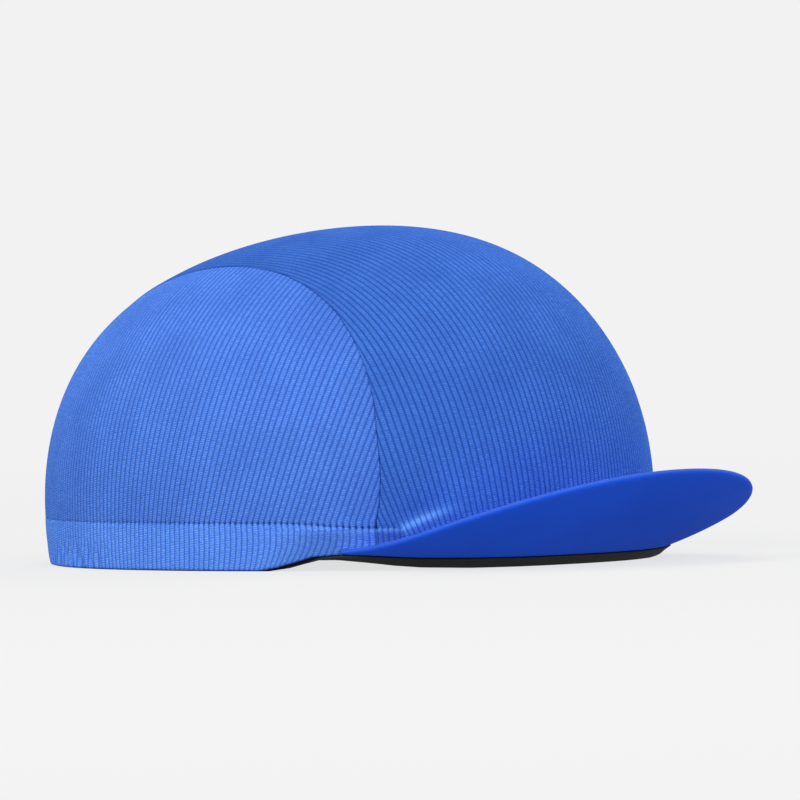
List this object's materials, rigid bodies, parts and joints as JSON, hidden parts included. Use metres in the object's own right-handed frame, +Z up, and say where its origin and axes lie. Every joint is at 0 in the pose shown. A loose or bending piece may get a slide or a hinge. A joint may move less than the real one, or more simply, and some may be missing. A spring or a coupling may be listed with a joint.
{
  "type": "cycling cap",
  "caption": "Close-fitting rib-knit cycling cap: centre panel, two side panels, elastic hem round the back, black sweatband and a short turned-up peak.",
  "frame": {"origin": "centre of the bounding box's base, on the surface that the rim rests on", "axes": "+Z up through the crown; -Y forward, over the peak; +X towards the wearer's left"},
  "size_m": [0.1616, 0.2468, 0.0992],
  "materials": {
    "rib_knit": "blue rib-knit stretch cloth",
    "peak_cloth": "smooth darker blue cloth over a stiffener",
    "band_cloth": "matt black cloth tape"
  },
  "bodies": {
    "root": {"centre_panel": "rib_knit", "side_panel_left": "rib_knit", "side_panel_right": "rib_knit", "hem_band": "rib_knit", "peak": "peak_cloth", "sweatband": "band_cloth"}
  },
  "joints": []
}
